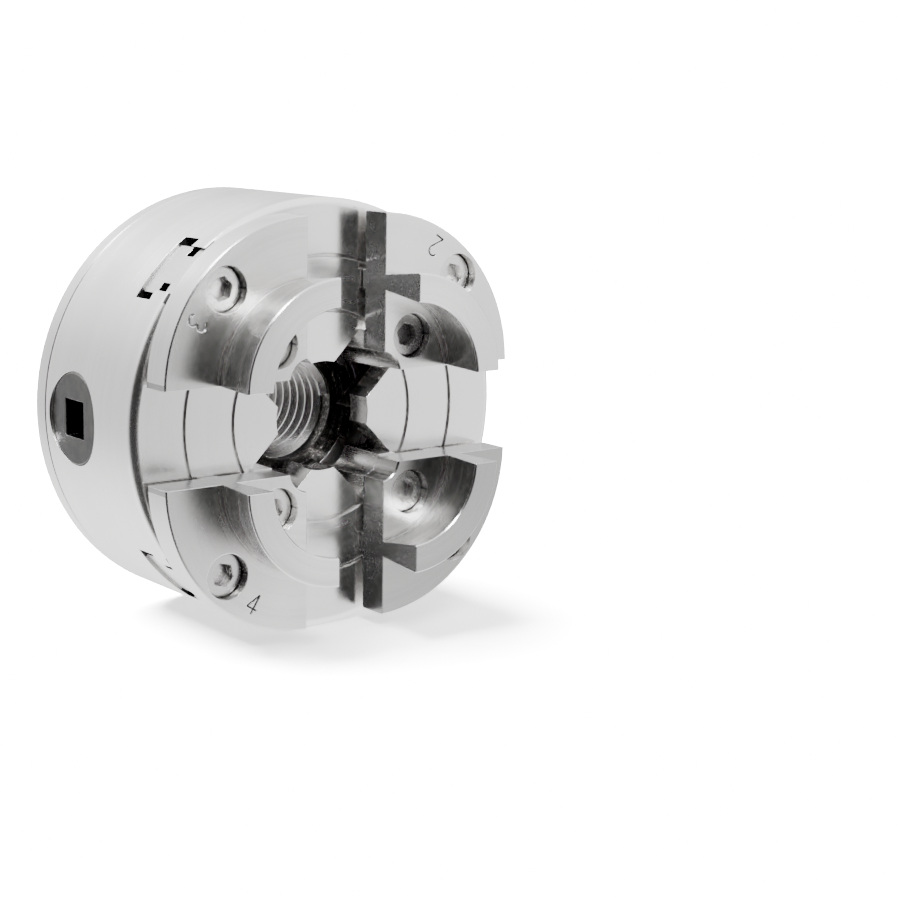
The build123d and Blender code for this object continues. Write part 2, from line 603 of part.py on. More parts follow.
for number, jaw_angle in enumerate(JAW_ANGLES, start=1):
    with BuildPart() as slide:
        slide_layer(SLOT_FLANGE_HALF - SLIDING, SLIDE_BACK, LIP_BACK - END_PLAY, jaw_angle)
        slide_layer(SLOT_NECK_HALF - SLIDING, LIP_BACK - END_PLAY, SLIDE_TOP, jaw_angle)
        end_relief(SLIDE_RELIEF_FLANGE_HALF, SLIDE_BACK, LIP_BACK, jaw_angle)
        end_relief(SLIDE_RELIEF_NECK_HALF, LIP_BACK, FACE_FORWARD - SLIDE_RELIEF_NECK_DEPTH, jaw_angle)
        for k in range(RACK_TEETH):
            step = k + (number - 1) / JAW_COUNT
            rack_tooth(SCROLL_GROOVE_RADIUS + SCROLL_PITCH * step, jaw_angle)
        with BuildSketch(across(SLIDE_TOP - JAW_RIB_DEPTH - SEATED, jaw_angle, JAW_OPENING)):
            Circle(JAW_RIB[1] + SLIDING)
            Circle(JAW_RIB[0] - SLIDING, mode=Mode.SUBTRACT)
        extrude(amount=JAW_RIB_DEPTH + SEATED, mode=Mode.SUBTRACT)
        screw_floor = SCREW_SEAT - SCREW_LENGTH - TAPPED_EXTRA / 2
        for place in (INNER_SCREW_PLACE, OUTER_SCREW_PLACE):
            with BuildSketch(across(screw_floor, jaw_angle, JAW_OPENING + place)):
                Circle(SCREW_RADIUS + THREADED)
            extrude(amount=SLIDE_TOP - screw_floor, mode=Mode.SUBTRACT)
    save(slide, f"jaw_slide_{number}")


# ---------------------------------------------------------------- top jaws
def digit_strokes(number):
    """The strokes of a numeral from 1 to 4, centred and standing up along y."""
    h = DIGIT_HEIGHT / 2
    r = DIGIT_HEIGHT / 4
    if number == 1:
        Polyline((-r / 2, h - r / 2), (0, h), (0, -h))
    elif number == 2:
        bend = CenterArc((0, h - r), r, -30, 190)
        Line(bend @ 0, (-r, -h))
        Line((-r, -h), (r, -h))
    elif number == 3:
        CenterArc((0, h - r), r, -90, 240)
        CenterArc((0, r - h), r, -150, 240)
    else:
        Polyline((r * 1.2, -r * 0.9), (-r * 1.2, -r * 0.9), (r * 0.4, h), (r * 0.4, -h))


def engrave(number, angle):
    """A jaw's number, cut into its flat and read from the spindle axis outwards."""
    with BuildSketch(facing_in(JAW_FLAT, angle + DIGIT_TURN, DIGIT_RADIUS)) as digit:
        with BuildLine() as strokes:
            digit_strokes(number)
        for stroke in strokes.edges():
            trace(stroke, line_width=DIGIT_STROKE)
    extrude(digit.sketch, amount=-DIGIT_DEPTH, mode=Mode.SUBTRACT)


for number, jaw_angle in enumerate(JAW_ANGLES, start=1):
    with BuildPart() as top_jaw:
        with BuildSketch(lengthwise(jaw_angle, JAW_OPENING)):
            with BuildLine():
                Polyline(
                    (JAW_SET_HOLE_RADIUS, SLIDE_TOP),
                    (JAW_RIB[0], SLIDE_TOP),
                    (JAW_RIB[0], SLIDE_TOP - JAW_RIB_DEPTH),
                    (JAW_RIB[1], SLIDE_TOP - JAW_RIB_DEPTH),
                    (JAW_RIB[1], SLIDE_TOP),
                    (JAW_SET_RADIUS - JAW_EDGE_BREAK, SLIDE_TOP),
                    (JAW_SET_RADIUS, SLIDE_TOP + JAW_EDGE_BREAK),
                    (JAW_SET_RADIUS, JAW_FLAT - JAW_EDGE_BREAK),
                    (JAW_SET_RADIUS - JAW_EDGE_BREAK, JAW_FLAT),
                    (JAW_RING_ROOT[1], JAW_FLAT),
                    (JAW_RING_TIP[1], JAW_TIP - JAW_EDGE_BREAK),
                    (JAW_RING_TIP[1] - JAW_EDGE_BREAK, JAW_TIP),
                    (JAW_RING_TIP[0] + JAW_EDGE_BREAK, JAW_TIP),
                    (JAW_RING_TIP[0], JAW_TIP - JAW_EDGE_BREAK),
                    (JAW_RING_ROOT[0], JAW_FLAT),
                    (JAW_SET_HOLE_RADIUS + JAW_EDGE_BREAK, JAW_FLAT),
                    (JAW_SET_HOLE_RADIUS, JAW_FLAT - JAW_EDGE_BREAK),
                    close=True,
                )
            make_face()
        revolve(axis=parallel_to_spindle(jaw_angle, JAW_OPENING))
        with BuildSketch(across(SLIDE_TOP - JAW_RIB_DEPTH, jaw_angle, JAW_OPENING)):
            Circle(2 * JAW_SET_RADIUS)
            quadrant(JAW_KERF_HALF)
        extrude(amount=JAW_TIP - SLIDE_TOP + JAW_RIB_DEPTH, mode=Mode.INTERSECT)
        for place in (INNER_SCREW_PLACE, OUTER_SCREW_PLACE):
            with BuildSketch(across(SCREW_SEAT, jaw_angle, JAW_OPENING + place)):
                Circle(SCREW_HEAD_RADIUS + COUNTERBORE)
            extrude(amount=JAW_TIP - SCREW_SEAT, mode=Mode.SUBTRACT)
            with BuildSketch(across(SCREW_SEAT, jaw_angle, JAW_OPENING + place)):
                Circle(SCREW_RADIUS + SCREW_HOLE)
            extrude(amount=SLIDE_TOP - SCREW_SEAT, mode=Mode.SUBTRACT)
        engrave(number, jaw_angle)
    save(top_jaw, f"top_jaw_{number}")

    for end, place in (("inner", INNER_SCREW_PLACE), ("outer", OUTER_SCREW_PLACE)):
        save(jaw_screw(across(SCREW_SEAT, jaw_angle, JAW_OPENING + place)), f"{end}_screw_{number}")
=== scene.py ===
"""Studio scene of a four-jaw scroll chuck for a woodturning lathe, lying on its side on a white table."""

from math import pi, radians, tan

import bmesh
import bpy
from mathutils import Matrix, Quaternion, Vector


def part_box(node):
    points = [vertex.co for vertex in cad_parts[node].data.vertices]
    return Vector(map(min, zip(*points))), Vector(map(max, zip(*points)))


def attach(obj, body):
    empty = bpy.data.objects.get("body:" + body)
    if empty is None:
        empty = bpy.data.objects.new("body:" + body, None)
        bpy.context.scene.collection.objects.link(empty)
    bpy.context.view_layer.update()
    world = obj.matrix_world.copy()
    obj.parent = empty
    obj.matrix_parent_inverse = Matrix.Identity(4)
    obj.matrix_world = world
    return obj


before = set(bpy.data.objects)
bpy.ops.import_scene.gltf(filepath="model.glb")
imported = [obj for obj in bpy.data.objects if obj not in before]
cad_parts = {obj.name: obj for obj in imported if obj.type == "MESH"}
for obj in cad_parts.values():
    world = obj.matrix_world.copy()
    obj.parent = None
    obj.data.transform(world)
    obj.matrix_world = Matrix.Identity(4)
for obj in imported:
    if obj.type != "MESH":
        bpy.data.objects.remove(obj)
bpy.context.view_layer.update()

MM = 0.001

# ---------------------------------------------------------------- places taken from the frame
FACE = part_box("body")[0][1]            # the body's front face
JAW_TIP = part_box("top_jaw_1")[0][1]    # the ring tips, furthest forward
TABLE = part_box("rear_cover")[0][2]     # the chuck rests on its cylinder
PINION_LOW, PINION_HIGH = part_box("pinion_right")
PINION_PLACE = (0, (PINION_LOW[1] + PINION_HIGH[1]) / 2, 0)    # on the axis of both pinions
PINION_END = PINION_HIGH[0]            # the key socket's mouth

# ---------------------------------------------------------------- sizes of the design
THREAD_MAJOR = 12.7 * MM               # radius of a 1 in x 8 TPI thread
THREAD_MINOR = 11.1 * MM
THREAD_PITCH = 3.175 * MM
THREAD_CREST = 0.42 * MM               # width of the ridge's tip
THREAD_FLANK = radians(30)             # half the angle between the flanks
THREAD_BITE = 0.03 * MM                # how far the thread's root reaches into the wall
THREAD_BACK = 1.2 * MM
THREAD_FRONT = 28.8 * MM
THREAD_STEPS = 72                      # per turn
HUB_REAR = 0.5 * MM                    # the hub's rear face stays clean up to here
RECESS_RADIUS = 14.9 * MM
RING_HEIGHT = 12.8 * MM                # of the jaws' dovetail ring
DIGIT_DEPTH = 0.25 * MM
JAW_OPENING = 10.0 * MM                # of each jaw's centre, along X and along Z
SLOT_HALF = 9.05 * MM                  # just past the jaw slots' widest half width
LIP_BACK = 38.3 * MM                   # where the slots widen, ahead of the origin
NOTCH_SIDE = 6.35 * MM                 # the body shows in the notches past this half width
NOTCH_DEEP = 46.0 * MM                 # the notches in a slide's end start here
SLIDE_END = 49.2 * MM                  # outer end of a jaw slide, just inside
SLOT_END = 49.9 * MM                   # the slots' shadow ends just inside the body's cylinder
SOCKET_HALF = 4.4 * MM                 # just past half the key socket's width

# ---------------------------------------------------------------- finishes
# Each steel's light and dark tone, its roughness and how far that drifts, the height of its tool
# marks, the tone of its edges, worn and lit by a painted highlight, and the tone of the painted shade in its
# corners.
TURNED_STEEL = dict(light=0.95, dark=0.85, roughness=0.24, spread=0.05, bump=0.0012 * MM,
                    edge_wear_and_highlight=0.97, corner_shade_tone=0.08, anisotropic=0.7)
GROUND_STEEL = dict(light=0.84, dark=0.71, roughness=0.25, spread=0.05, bump=0.0010 * MM,
                    edge_wear_and_highlight=0.97, corner_shade_tone=0.10, anisotropic=0.75, marks_per_mm=6.0,
                    edge_radius=0.3 * MM)
MILLED_STEEL = dict(light=0.80, dark=0.70, roughness=0.26, spread=0.06, bump=0.003 * MM,
                    edge_wear_and_highlight=0.92, corner_shade_tone=0.10, marks_per_mm=4.0, stretch=(1, 0.05, 1))
SCROLL_STEEL = dict(light=0.50, dark=0.42, roughness=0.34, spread=0.06, bump=0.003 * MM,
                    edge_wear_and_highlight=0.8, corner_shade_tone=0.06)
SPRING_STEEL = dict(light=0.36, dark=0.30, roughness=0.36, spread=0.05, bump=0.002 * MM,
                    edge_wear_and_highlight=0.7, corner_shade_tone=0.06)
SCREW_STEEL = dict(light=0.74, dark=0.64, roughness=0.26, spread=0.05, bump=0.002 * MM,
                   edge_wear_and_highlight=0.95, corner_shade_tone=0.05, edge_radius=0.15 * MM)
THREAD_STEEL = dict(light=0.72, dark=0.60, roughness=0.28, spread=0.05, bump=0.002 * MM,
                    edge_wear_and_highlight=0.95, corner_shade_tone=0.05)
QUARTER_TURN = 0.25                    # light spreads across the tool marks and not along them
RECESS_DARK = (0.03, 0.06)             # tone and warmth of the painted shade in the recess and under the lip
RECESS_CHIP = (0.16, 0.03)             # and of the specks in it
SLOT_SHADOW = 0.11
NOTCH_SHADOW = 0.05
SOCKET_SHADOW = 0.001
SAWN_PLANE_SHADE = 0.38                       # painted shade on the planes where the jaws were sawn apart
# painted shade in the corners of black oxide
OXIDE_CORNER_SHADE = 0.01
RUBBED_TONE = 0.5                      # bare steel at the edges of black oxide
RUBBED_SHARE = 0.5                     # how much of it shows
# Each jaw's side, its height, how bright its front is painted as the light falls on it, and the tone of its
# number.
JAW_LOOKS = ((1, -1, 0.48, 0.05), (1, 1, 1.0, 0.05), (-1, 1, 0.92, 0.35), (-1, -1, 0.97, 0.05))

# ---------------------------------------------------------------- camera
CAMERA_PLACE = Vector((-251.2, -406.9, 76.0)) * MM
CAMERA_LOOK = Vector((0.6128, 0.7679, -0.1866))
CAMERA_ROLL = radians(1.0)
CAMERA_LENS = 77.6
CAMERA_NEAR = 10.0 * MM

# ---------------------------------------------------------------- studio, in metres and watts
TABLE_RADIUS = 6.0
TABLE_SIDES = 96
TABLE_TONES = (0.90, 0.93)
TABLE_ROUGHNESS = 0.6
TABLE_GLOW = 1.0
BACKDROP = 400.0                       # the wall behind the table, as seen directly
SKY = 1.9                              # the white room, as it lights the chuck
SHADE = 0.05                           # the unlit side of the room, behind the camera
SHADE_DIRECTION = Vector((-0.62, -0.78, 0.0))
SHADE_BORDER = (0.22, 0.70)            # cosines of the angles from there where it ends and is full
HORIZON = 0.62                         # the room at eye height, against its ceiling and floor
CEILING = 1.35
CEILING_BORDER = (0.12, 0.62)          # sines of the height where it starts and is full
PANEL_DIRECTION = Vector((0.80, -0.60, 0.0))   # a bright panel to the right, in front
PANEL_BORDER = (0.89, 0.965)           # cosines of the angles from there where it ends and is full
PANEL = 1.0                            # how much it adds
SUN_DIRECTION = Vector((-0.3, 0.5, 1.0))
SUN_STRENGTH = 150.0
SUN_SPREAD = radians(50)
SOFTBOXES = (                          # name, place, side and power
    ("top_softbox", (-0.5, 0.5, 1.1), 0.5, 12),
    ("front_softbox", (-0.25, -0.75, 0.95), 0.35, 26),
)


def put_in_scene(name, data):
    """A new object in the scene."""
    thing = bpy.data.objects.new(name, data)
    bpy.context.scene.collection.objects.link(thing)
    return thing


def finish_piece(name, form, material):
    """An object with one material, made from a bmesh."""
    mesh = bpy.data.meshes.new(name)
    form.to_mesh(mesh)
    form.free()
    mesh.materials.append(material)
    return put_in_scene(name, mesh)


def add_camera():
    data = bpy.data.cameras.new("camera")
    data.lens = CAMERA_LENS
    data.clip_start = CAMERA_NEAR
    camera = put_in_scene("camera", data)
    turn = CAMERA_LOOK.to_track_quat("-Z", "Y") @ Quaternion((0, 0, 1), CAMERA_ROLL)
    camera.matrix_world = Matrix.Translation(CAMERA_PLACE) @ turn.to_matrix().to_4x4()
    bpy.context.scene.camera = camera


add_camera()


# ---------------------------------------------------------------- node helpers
def new_group(name, inputs, outputs):
    """An empty shader node group. Inputs are (name, type, default) and outputs (name, type)."""
    group = bpy.data.node_groups.new(name, "ShaderNodeTree")
    for label, kind, value in inputs:
        socket = group.interface.new_socket(label, in_out="INPUT", socket_type=f"NodeSocket{kind}")
        socket.default_value = value
    for label, kind in outputs:
        group.interface.new_socket(label, in_out="OUTPUT", socket_type=f"NodeSocket{kind}")
    return group, group.nodes.new("NodeGroupInput"), group.nodes.new("NodeGroupOutput")


def feed(tree, node, inputs):
    """A node's inputs by name, or i0 for the first one: a socket is linked, anything else is set."""
    for key, value in inputs.items():
        socket = node.inputs[int(key[1:])] if key[1:].isdigit() else node.inputs[key.replace("_", " ")]
        if isinstance(value, bpy.types.NodeSocket):
            tree.links.new(value, socket)
        else:
            socket.default_value = value
    return node


def add(tree, kind, settings=None, **inputs):
    """A node with its settings and its inputs."""
    node = tree.nodes.new(f"ShaderNode{kind}")
    for key, value in (settings or {}).items():
        setattr(node, key, value)
    return feed(tree, node, inputs)


def place_group(tree, group, **inputs):
    """A shared node group with this material's values."""
    node = tree.nodes.new("ShaderNodeGroup")
    node.node_tree = group
    return feed(tree, node, inputs)


def maths(tree, operation, a, b=0.0, c=0.0, clamp=False):
    settings = {"operation": operation, "use_clamp": clamp}
    return add(tree, "Math", settings, i0=a, i1=b, i2=c).outputs[0]


def both(tree, a, b):
    """Where two masks overlap."""
    return maths(tree, "MULTIPLY", a, b)


def vector_maths(tree, operation, a, b=(0, 0, 0)):
    node = add(tree, "VectorMath", {"operation": operation}, i0=a, i1=b)
    return node.outputs["Value" if operation in ("DOT_PRODUCT", "LENGTH") else "Vector"]


def part_along(tree, vector, axis):
    """A vector's part along X, Y or Z."""
    return add(tree, "SeparateXYZ", Vector=vector).outputs[axis]


def radius_of(tree, place):
    """Distance of a place from the axis along Y."""
    return vector_maths(tree, "LENGTH", vector_maths(tree, "MULTIPLY", place, (1, 0, 1)))


def remap(tree, value, low, high, to_low=0.0, to_high=1.0):
    """Smooth change from one value to another while the input goes from low to high."""
    settings = {"interpolation_type": "SMOOTHSTEP"}
    return add(tree, "MapRange", settings, i0=value, i1=low, i2=high, i3=to_low, i4=to_high).outputs[0]


def border(tree, measure, start, width):
    """0 before start and 1 past its width, or the other way round where the width is negative."""
    return remap(tree, measure, start, start + width)


def noise(tree, vector, scale, detail, rough):
    return add(tree, "TexNoise", Vector=vector, Scale=scale, Detail=detail, Roughness=rough).outputs[0]


def mix_colour(tree, factor, a, b):
    return add(tree, "Mix", {"data_type": "RGBA"}, i0=factor, i6=a, i7=b).outputs[2]


def grey(level, warm=0.0):
    return (level * (1 + warm), level, level * (1 - warm), 1.0)


# ---------------------------------------------------------------- finishes shared by the materials
def make_turning():
    """Fine rings left by a lathe tool round an axis along Y: across a face and along a cylinder."""
    group, inlet, outlet = new_group(
        "Turning marks",
        [("Vector", "Vector", (0, 0, 0)), ("Centre", "Vector", (0, 0, 0)), ("Rings per mm", "Float", 5.0)],
        [("Height", "Float"), ("Tone", "Float")],
    )
    place = vector_maths(group, "SUBTRACT", inlet.outputs["Vector"], inlet.outputs["Centre"])
    per_metre = maths(group, "MULTIPLY", inlet.outputs["Rings per mm"], 1 / MM)
    across = maths(group, "MULTIPLY", radius_of(group, place), per_metre)
    along = maths(group, "MULTIPLY", part_along(group, place, "Y"), per_metre)
    rings = add(group, "CombineXYZ", X=across, Y=along).outputs[0]
    fine = noise(group, rings, scale=1.0, detail=3.0, rough=0.7)
    broad = noise(group, rings, scale=0.09, detail=2.0, rough=0.5)
    sheen = noise(group, place, scale=55.0, detail=2.0, rough=0.5)
    group.links.new(maths(group, "MULTIPLY_ADD", broad, 0.5, fine), outlet.inputs["Height"])
    tone = maths(group, "MULTIPLY_ADD", sheen, 0.5, maths(group, "MULTIPLY", broad, 0.5))
    group.links.new(tone, outlet.inputs["Tone"])
    return group


def make_grinding():
    """Fine straight scratches of a surface grinder, stretched along one direction by the scale given."""
    group, inlet, outlet = new_group(
        "Grinding marks",
        [("Vector", "Vector", (0, 0, 0)), ("Stretch", "Vector", (1, 1, 1)), ("Marks per mm", "Float", 6.0)],
        [("Height", "Float"), ("Tone", "Float")],
    )
    place = vector_maths(group, "MULTIPLY", inlet.outputs["Vector"], inlet.outputs["Stretch"])
    per_metre = maths(group, "MULTIPLY", inlet.outputs["Marks per mm"], 1 / MM)
    lines = add(group, "VectorMath", {"operation": "SCALE"}, Vector=place, Scale=per_metre).outputs[0]
    fine = noise(group, lines, scale=1.0, detail=3.0, rough=0.65)
    cloud = noise(group, inlet.outputs["Vector"], scale=70.0, detail=3.0, rough=0.5)
    tone = maths(group, "MULTIPLY_ADD", cloud, 0.6, maths(group, "MULTIPLY", fine, 0.4))
    group.links.new(fine, outlet.inputs["Height"])
    group.links.new(tone, outlet.inputs["Tone"])
    return group


def make_edge():
    """Slightly rounded edges: a mask that is 1 on an edge, for wear and for a painted highlight, and the
    rounded normal.
    """
    group, inlet, outlet = new_group(
        "Worn and highlighted edge",
        [("Radius", "Float", 0.2 * MM), ("Vector", "Vector", (0, 0, 0))],
        [("Mask", "Float"), ("Normal", "Vector")],
    )
    rounded = add(group, "Bevel", {"samples": 6}, Radius=inlet.outputs["Radius"]).outputs[0]
    flat = add(group, "NewGeometry").outputs["Normal"]
    same = vector_maths(group, "DOT_PRODUCT", rounded, flat)
    edge = remap(group, same, 0.995, 0.86)
    broken = noise(group, inlet.outputs["Vector"], scale=260.0, detail=3.0, rough=0.6)
    worn = both(group, edge, remap(group, broken, 0.25, 0.6, 0.45, 1.0))
    group.links.new(worn, outlet.inputs["Mask"])
    group.links.new(rounded, outlet.inputs["Normal"])
    return group


def make_shade_and_grime():
    """A mask for corners and low places, which materials darken as painted shade and make rougher like oil
    and dust, and specks for a place that is dark all over.
    """
    group, inlet, outlet = new_group(
        "Corner shade and grime",
        [("Vector", "Vector", (0, 0, 0)), ("Reach", "Float", 2.0 * MM), ("Speckle", "Float", 900.0)],
        [("Mask", "Float"), ("Speckle", "Float")],
    )
    settings = {"samples": 6, "only_local": True}
    openness = add(group, "AmbientOcclusion", settings, Distance=inlet.outputs["Reach"]).outputs["AO"]
    patch = noise(group, inlet.outputs["Vector"], scale=320.0, detail=4.0, rough=0.6)
    corner = remap(group, openness, 0.75, 0.25)
    mask = both(group, corner, remap(group, patch, 0.3, 0.65, 0.4, 1.0))
    grains = noise(group, inlet.outputs["Vector"], inlet.outputs["Speckle"], detail=3.0, rough=0.7)
    group.links.new(mask, outlet.inputs["Mask"])
    group.links.new(remap(group, grains, 0.42, 0.7), outlet.inputs["Speckle"])
    return group


TURNING = make_turning()
GRINDING = make_grinding()
EDGE = make_edge()
SHADE_AND_GRIME = make_shade_and_grime()


# ---------------------------------------------------------------- materials
def start_material(name, roughness, anisotropic=0.0):
    """A new metal with its Principled shader and its Object coordinates."""
    material = bpy.data.materials.new(name)
    material.use_nodes = True
    tree = material.node_tree
    tree.nodes.clear()
    output = tree.nodes.new("ShaderNodeOutputMaterial")
    shader = add(tree, "BsdfPrincipled", Metallic=1.0, Roughness=roughness, Anisotropic=anisotropic)
    tree.links.new(shader.outputs[0], output.inputs[0])
    place = add(tree, "TexCoord").outputs["Object"]
    return material, tree, shader, place


def round_tangent(tree, place, centre):
    """Direction of the tool marks round an axis along Y."""
    arm = vector_maths(tree, "SUBTRACT", place, centre)
    return vector_maths(tree, "NORMALIZE", vector_maths(tree, "CROSS_PRODUCT", arm, (0, 1, 0)))


def steel(name, marks, light, dark, roughness, spread, bump, edge_wear_and_highlight, corner_shade_tone,
          marks_per_mm=5.0, centre=(0, 0, 0), stretch=(1, 1, 1), anisotropic=0.0, edge_radius=0.2 * MM):
    """Machined steel: tool marks in the bump, a drifting tone, edges lighter by wear and a painted highlight,
    and painted shade in rougher corners.

    Its shader, place, colour and edge mask are given back too, so that a piece can add its own to them.
    """
    material, tree, shader, place = start_material(name, roughness, anisotropic)
    if marks is TURNING:
        finish = place_group(tree, TURNING, Vector=place, Centre=centre, Rings_per_mm=marks_per_mm)
        if anisotropic:
            tree.links.new(round_tangent(tree, place, centre), shader.inputs["Tangent"])
            shader.inputs["Anisotropic Rotation"].default_value = QUARTER_TURN
    else:
        finish = place_group(tree, GRINDING, Vector=place, Stretch=stretch, Marks_per_mm=marks_per_mm)
    edge = place_group(tree, EDGE, Radius=edge_radius, Vector=place)
    shade_and_grime = place_group(tree, SHADE_AND_GRIME, Vector=place)
    drift = remap(tree, finish.outputs["Tone"], 0.3, 0.7)
    tone = mix_colour(tree, drift, grey(dark, 0.01), grey(light, 0.01))
    # Painted shade: darker in corners and low places, which the same mask also makes rougher.
    corner_shaded = mix_colour(tree, shade_and_grime.outputs["Mask"], tone, grey(corner_shade_tone, 0.04))
    # Edges lighter: partly wear, partly a painted highlight.
    colour = mix_colour(tree, edge.outputs["Mask"], corner_shaded, grey(edge_wear_and_highlight))
    tree.links.new(colour, shader.inputs["Base Color"])
    rough = remap(tree, finish.outputs["Tone"], 0.25, 0.75, roughness - spread, roughness + spread)
    rough = maths(tree, "MULTIPLY_ADD", shade_and_grime.outputs["Mask"], 0.3, rough, clamp=True)
    tree.links.new(rough, shader.inputs["Roughness"])
    relief = add(tree, "Bump", Strength=1.0, Distance=bump, Height=finish.outputs["Height"],
                 Normal=edge.outputs["Normal"])
    tree.links.new(relief.outputs[0], shader.inputs["Normal"])
    return material, tree, shader, place, colour, edge.outputs["Mask"]


def slot_mask(tree, place, start):
    """1 in the outer bands of the jaw slots' width, from a radius outwards.

    The slots lie at 45 degrees to the axes.
    """
    across = (0.5 ** 0.5, 0, -(0.5 ** 0.5))
    off_line = vector_maths(tree, "DOT_PRODUCT", vector_maths(tree, "ABSOLUTE", place), across)
    off_line = maths(tree, "ABSOLUTE", off_line)
    within = border(tree, off_line, SLOT_HALF, width=-0.02 * MM)
    beside = border(tree, off_line, NOTCH_SIDE, width=0.05 * MM)
    outwards = border(tree, radius_of(tree, place), start, width=0.3 * MM)
    return both(tree, both(tree, within, beside), outwards)


def slide_material():
    """A milled jaw slide, dark in the notches of its outer end."""
    material, tree, shader, place, colour, _ = steel("milled_slide", GRINDING, **MILLED_STEEL)
    radius = radius_of(tree, place)
    behind = border(tree, part_along(tree, place, "Y"), FACE - 0.2 * MM, width=0.4 * MM)
    outwards = border(tree, radius, NOTCH_DEEP, width=0.2 * MM)
    within = border(tree, radius, SLIDE_END + 0.05 * MM, width=-0.05 * MM)
    notch = both(tree, both(tree, outwards, within), behind)
    tree.links.new(mix_colour(tree, notch, colour, grey(NOTCH_SHADOW)), shader.inputs["Base Color"])
    return material


def body_material():
    """The turned body: bright outside, darkened by painted shade and speckled in its recess and behind its
    lip.

    The ends of its slots are in shadow.
    """
    material, tree, shader, place, colour, _ = steel("turned_body", TURNING, **TURNED_STEEL)
    shade_and_grime = place_group(tree, SHADE_AND_GRIME, Vector=place, Speckle=1400.0)
    radius = radius_of(tree, place)
    ahead = maths(tree, "MULTIPLY", part_along(tree, place, "Y"), -1.0)
    recess = both(tree, border(tree, radius, RECESS_RADIUS + 0.8 * MM, width=-0.8 * MM),
                  border(tree, ahead, -FACE - 1.0 * MM, width=-4.0 * MM))
    under_lip = both(tree, border(tree, ahead, LIP_BACK + 0.05 * MM, width=-0.1 * MM),
                     border(tree, radius, RECESS_RADIUS, width=0.1 * MM))
    under_lip = both(tree, under_lip, border(tree, radius, NOTCH_DEEP, width=-0.1 * MM))
    inside = maths(tree, "MAXIMUM", recess, under_lip)
    inside = both(tree, inside, border(tree, ahead, HUB_REAR, width=1.0 * MM))
    # Painted shade in the recess and under the lip, with lighter specks.
    recess_shade = mix_colour(tree, shade_and_grime.outputs["Speckle"], grey(*RECESS_DARK), grey(*RECESS_CHIP))
    slots = both(tree, slot_mask(tree, place, NOTCH_DEEP), border(tree, radius, SLOT_END, width=-0.1 * MM))
    dim = mix_colour(tree, slots, mix_colour(tree, inside, colour, recess_shade), grey(SLOT_SHADOW))
    tree.links.new(dim, shader.inputs["Base Color"])
    return material


def jaw_material(number, centre, painted_front_light, ink):
    """A top jaw: turned rings round the jaw's own centre, a front and sawn planes darkened by painted shade,
    and a dark number.
    """
    material, tree, shader, place, colour, edge_mask = steel(
        f"ground_jaw_{number}", TURNING, centre=centre, **GROUND_STEEL)
    facing = add(tree, "NewGeometry").outputs["True Normal"]
    front = remap(tree, part_along(tree, facing, "Y"), -0.6, -0.9)
    digit_floor = JAW_TIP + RING_HEIGHT + DIGIT_DEPTH
    off = maths(tree, "ABSOLUTE", maths(tree, "SUBTRACT", part_along(tree, place, "Y"), digit_floor))
    number_paint = both(tree, remap(tree, off, DIGIT_DEPTH * 0.8, DIGIT_DEPTH * 0.2), front)
    # Painted shade: the front is darkened on the jaws that the light leaves darker.
    colour = mix_colour(tree, maths(tree, "MULTIPLY", front, 1.0 - painted_front_light), colour, grey(0.0))
    sides = add(tree, "SeparateXYZ", Vector=vector_maths(tree, "ABSOLUTE", facing))
    sawn = remap(tree, maths(tree, "MAXIMUM", sides.outputs["X"], sides.outputs["Z"]), 0.998, 0.9995)
    sawn = both(tree, sawn, remap(tree, edge_mask, 0.4, 0.1))
    # Painted shade on the sawn planes.
    colour = mix_colour(tree, sawn, colour, grey(SAWN_PLANE_SHADE))
    tree.links.new(mix_colour(tree, number_paint, colour, grey(ink)), shader.inputs["Base Color"])
    return material


def socket_mask(tree, place):
    """1 inside the key sockets of both pinions."""
    off = vector_maths(tree, "ABSOLUTE", vector_maths(tree, "SUBTRACT", place, PINION_PLACE))
    off = add(tree, "SeparateXYZ", Vector=off)
    from_axis = maths(tree, "MAXIMUM", off.outputs["Y"], off.outputs["Z"])
    return both(tree, border(tree, from_axis, SOCKET_HALF, width=-0.05 * MM),
                border(tree, off.outputs["X"], PINION_END - 0.1 * MM, width=-0.4 * MM))


def black_oxide(name, level, roughness, dark_socket=False):
    """Blackened steel, slightly mottled, rubbed bright along its edges. A pinion's key socket is darker."""
    material, tree, shader, place = start_material(name, roughness)
    edge = place_group(tree, EDGE, Radius=0.25 * MM, Vector=place)
    cloud = noise(tree, place, scale=380.0, detail=5.0, rough=0.65)
    tone = mix_colour(tree, remap(tree, cloud, 0.3, 0.7), grey(level * 0.8), grey(level * 1.25, 0.02))
    shade_and_grime = place_group(tree, SHADE_AND_GRIME, Vector=place)
    # Painted shade: darker in corners and low places.
    tone = mix_colour(tree, shade_and_grime.outputs["Mask"], tone, grey(OXIDE_CORNER_SHADE))
    if dark_socket:
        tone = mix_colour(tree, socket_mask(tree, place), tone, grey(SOCKET_SHADOW))
    rubbed = maths(tree, "MULTIPLY", edge.outputs["Mask"], RUBBED_SHARE)
    tree.links.new(mix_colour(tree, rubbed, tone, grey(RUBBED_TONE)), shader.inputs["Base Color"])
    rough = remap(tree, cloud, 0.25, 0.75, roughness - 0.06, roughness + 0.08)
    tree.links.new(rough, shader.inputs["Roughness"])
    grain = noise(tree, place, scale=3200.0, detail=2.0, rough=0.6)
    relief = add(tree, "Bump", Strength=1.0, Distance=0.004 * MM, Height=grain, Normal=edge.outputs["Normal"])
    tree.links.new(relief.outputs[0], shader.inputs["Normal"])
    return material


def paint(material, *nodes):
    """Gives CAD nodes one material."""
    for node in nodes:
        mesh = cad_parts[node].data
        mesh.materials.clear()
        mesh.materials.append(material)


